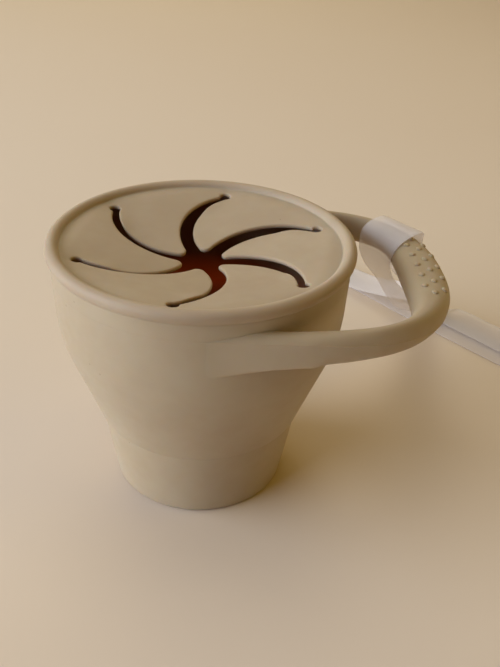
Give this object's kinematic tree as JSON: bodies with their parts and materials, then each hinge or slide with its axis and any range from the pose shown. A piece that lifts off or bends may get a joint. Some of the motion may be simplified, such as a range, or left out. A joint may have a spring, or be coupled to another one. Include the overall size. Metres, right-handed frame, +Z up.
{
  "type": "toddler snack container",
  "caption": "Collapsible silicone snack cup with a push-through petal lid, a looped side handle with grip bumps, and a clear strap over the handle.",
  "frame": {"origin": "centre of the foot's underside, on the cup's axis", "axes": "+Z up along the cup's axis; +X from the cup's axis to the middle of the handle's grip"},
  "size_m": [0.2014, 0.2339, 0.0826],
  "materials": {
    "cup_silicone": "matte",
    "lid_silicone": "matte",
    "strap": "frosted, see-through"
  },
  "bodies": {
    "lower_cup": {"base_cup": "cup_silicone", "fold_wall": "cup_silicone", "strap": "strap"},
    "upper_cup": {"cup_collar": "cup_silicone", "handle": "cup_silicone"},
    "lid": {"lid_ring": "lid_silicone"},
    "petal_1": {"petal_1": "lid_silicone"},
    "petal_2": {"petal_2": "lid_silicone"},
    "petal_3": {"petal_3": "lid_silicone"},
    "petal_4": {"petal_4": "lid_silicone"},
    "petal_5": {"petal_5": "lid_silicone"},
    "petal_6": {"petal_6": "lid_silicone"}
  },
  "joints": [
    {"name": "fold", "type": "slide", "parent": "lower_cup", "child": "upper_cup", "axis": [0, 0, 1], "range_m": [-0.042, 0], "deforming": ["fold_wall", "strap"]},
    {"name": "lid_lift", "type": "slide", "parent": "upper_cup", "child": "lid", "axis": [0, 0, 1], "range_m": [0, 0.02]},
    {"name": "petal_1_bend", "type": "hinge", "parent": "lid", "child": "petal_1", "pos_m": [0.02106, 0.0238, 0.0788], "axis": [-0.749, 0.6626, 0], "range_deg": [-40, 40], "stiffness_Nm_per_rad": 0.004},
    {"name": "petal_2_bend", "type": "hinge", "parent": "lid", "child": "petal_2", "pos_m": [-0.01009, 0.03014, 0.0788], "axis": [-0.9483, -0.3173, 0], "range_deg": [-40, 40], "stiffness_Nm_per_rad": 0.004},
    {"name": "petal_3_bend", "type": "hinge", "parent": "lid", "child": "petal_3", "pos_m": [-0.03114, 0.00634, 0.0788], "axis": [-0.1994, -0.9799, 0], "range_deg": [-40, 40], "stiffness_Nm_per_rad": 0.004},
    {"name": "petal_4_bend", "type": "hinge", "parent": "lid", "child": "petal_4", "pos_m": [-0.02106, -0.0238, 0.0788], "axis": [0.749, -0.6626, 0], "range_deg": [-40, 40], "stiffness_Nm_per_rad": 0.004},
    {"name": "petal_5_bend", "type": "hinge", "parent": "lid", "child": "petal_5", "pos_m": [0.01009, -0.03014, 0.0788], "axis": [0.9483, 0.3173, 0], "range_deg": [-40, 40], "stiffness_Nm_per_rad": 0.004},
    {"name": "petal_6_bend", "type": "hinge", "parent": "lid", "child": "petal_6", "pos_m": [0.03114, -0.00634, 0.0788], "axis": [0.1994, 0.9799, 0], "range_deg": [-40, 40], "stiffness_Nm_per_rad": 0.004}
  ]
}
